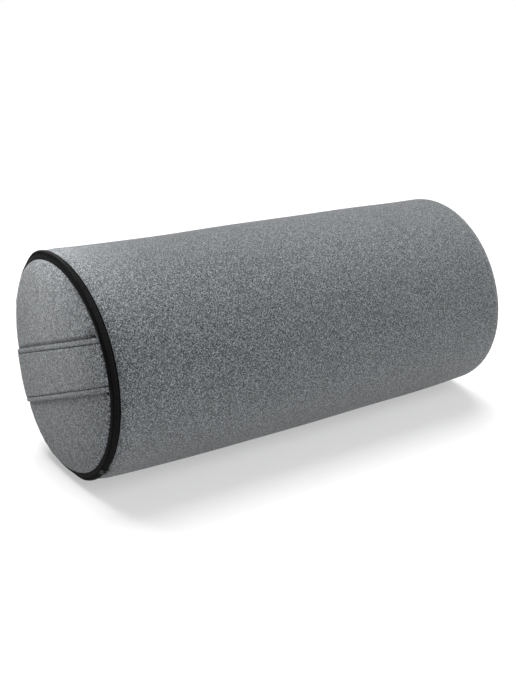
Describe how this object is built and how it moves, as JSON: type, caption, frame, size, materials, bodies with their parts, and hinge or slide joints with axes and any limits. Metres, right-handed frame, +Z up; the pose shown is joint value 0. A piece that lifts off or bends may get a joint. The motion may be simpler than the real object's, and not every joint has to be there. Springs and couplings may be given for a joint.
{
  "type": "yoga bolster",
  "caption": "Round filled yoga bolster of grey cloth with domed ends, a zip round one end and a flat carrying strap sewn across that end.",
  "frame": {"origin": "middle of the whole roll's footprint, at the height of the floor it lies on", "axes": "+X along the roll, from the zip end to the plain end; +Z up; +Y to the back, away from the side that the picture shows"},
  "size_m": [0.639, 0.2842, 0.2745],
  "materials": {
    "cloth": "grey heather plain weave, matt",
    "zip_tape": "black woven tape, matt",
    "zip_coil": "black nylon coil",
    "zip_slider": "dark lacquer"
  },
  "bodies": {
    "root": {"filled_body": "cloth", "zip_end_panel": "cloth", "plain_end_panel": "cloth", "carry_strap": "cloth", "zip_tape": "zip_tape", "zip_coil": "zip_coil", "zip_slider": "zip_slider"}
  },
  "joints": []
}
